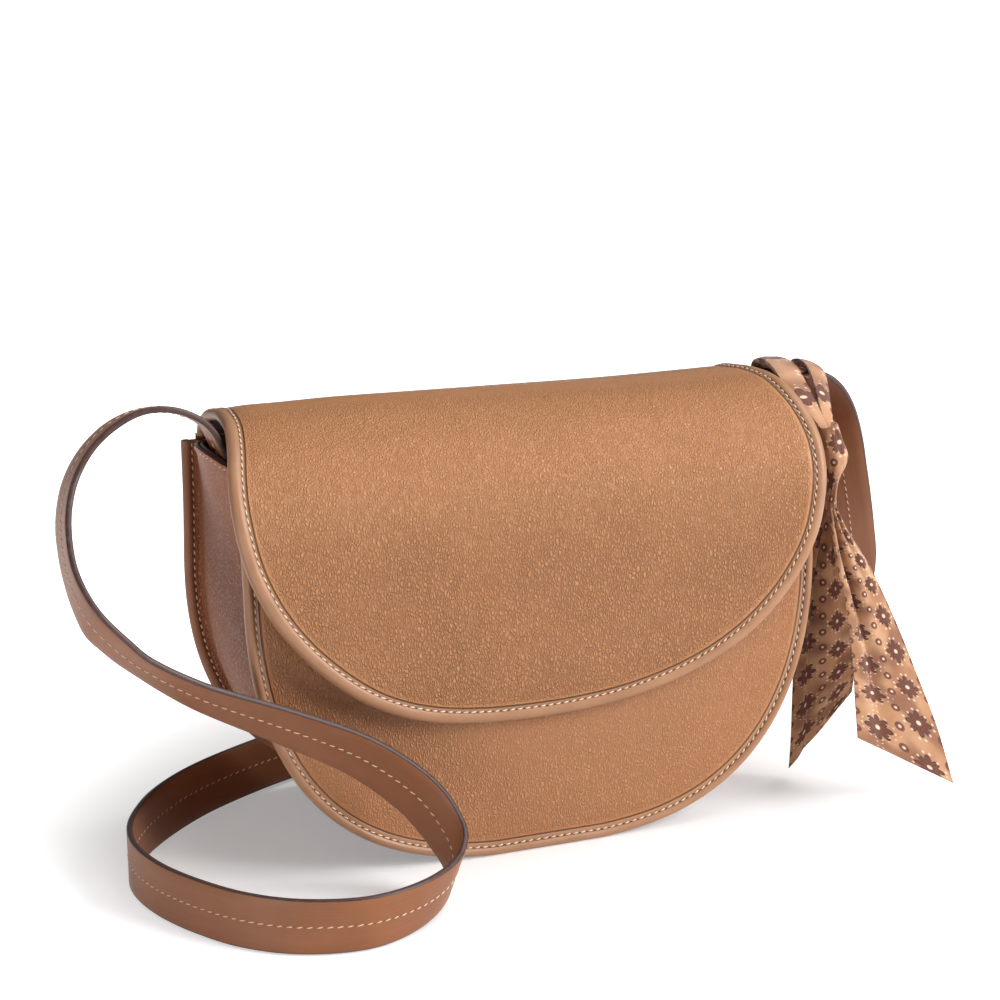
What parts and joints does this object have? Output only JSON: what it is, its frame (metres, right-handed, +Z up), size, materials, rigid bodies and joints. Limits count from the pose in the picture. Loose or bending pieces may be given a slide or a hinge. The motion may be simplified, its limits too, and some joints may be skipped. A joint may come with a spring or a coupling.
{
  "type": "crossbody bag",
  "caption": "Half-moon crossbody bag in tan pebbled leather: bound edges, gusset, flap with a snap, long flat shoulder strap and a patterned scarf tied on the strap.",
  "frame": {"origin": "on the surface the bag stands on, below the middle of the bag's own box (its strap and scarf left out)", "axes": "+X along the bag's width to the wearer's left when worn with the flap outwards, -Y towards the flap's front, +Z up"},
  "size_m": [0.431, 0.2152, 0.2093],
  "materials": {
    "tan_leather": "pebbled grain, satin",
    "edge_leather": "smooth fine grain, satin",
    "strap_leather": "smooth, satin, dark painted edges",
    "brown_lining": "woven cotton",
    "stiffener_board": "bare fibre board",
    "snap_metal": "polished light gold",
    "scarf_cloth": "printed cotton, soft"
  },
  "bodies": {
    "root": {"front_panel": "tan_leather", "back_panel": "tan_leather", "gusset": "tan_leather", "front_edge_binding": "edge_leather", "back_edge_binding": "edge_leather", "front_board": "stiffener_board", "back_board": "stiffener_board", "front_lining": "brown_lining", "back_lining": "brown_lining", "gusset_lining": "brown_lining", "front_facing": "tan_leather", "back_facing": "tan_leather", "left_facing": "tan_leather", "right_facing": "tan_leather", "strap_end_left": "strap_leather", "strap_end_right": "strap_leather", "shoulder_strap": "strap_leather", "snap_socket": "snap_metal", "snap_socket_washer": "snap_metal", "flap_anchor_strip": "tan_leather", "scarf_turn_1": "scarf_cloth", "scarf_turn_2": "scarf_cloth", "scarf_under_turn": "scarf_cloth", "scarf_knot": "scarf_cloth", "scarf_tail_left": "scarf_cloth", "scarf_tail_right": "scarf_cloth"},
    "flap": {"flap_leather": "tan_leather", "flap_interlining": "stiffener_board", "flap_lining": "brown_lining", "flap_edge_binding": "edge_leather", "snap_stud": "snap_metal", "snap_stud_washer": "snap_metal"}
  },
  "joints": [
    {"name": "flap_hinge", "type": "hinge", "parent": "root", "child": "flap", "pos_m": [0, 0.0478, 0.1806], "axis": [-1, 0, 0], "range_deg": [0, 160]}
  ]
}
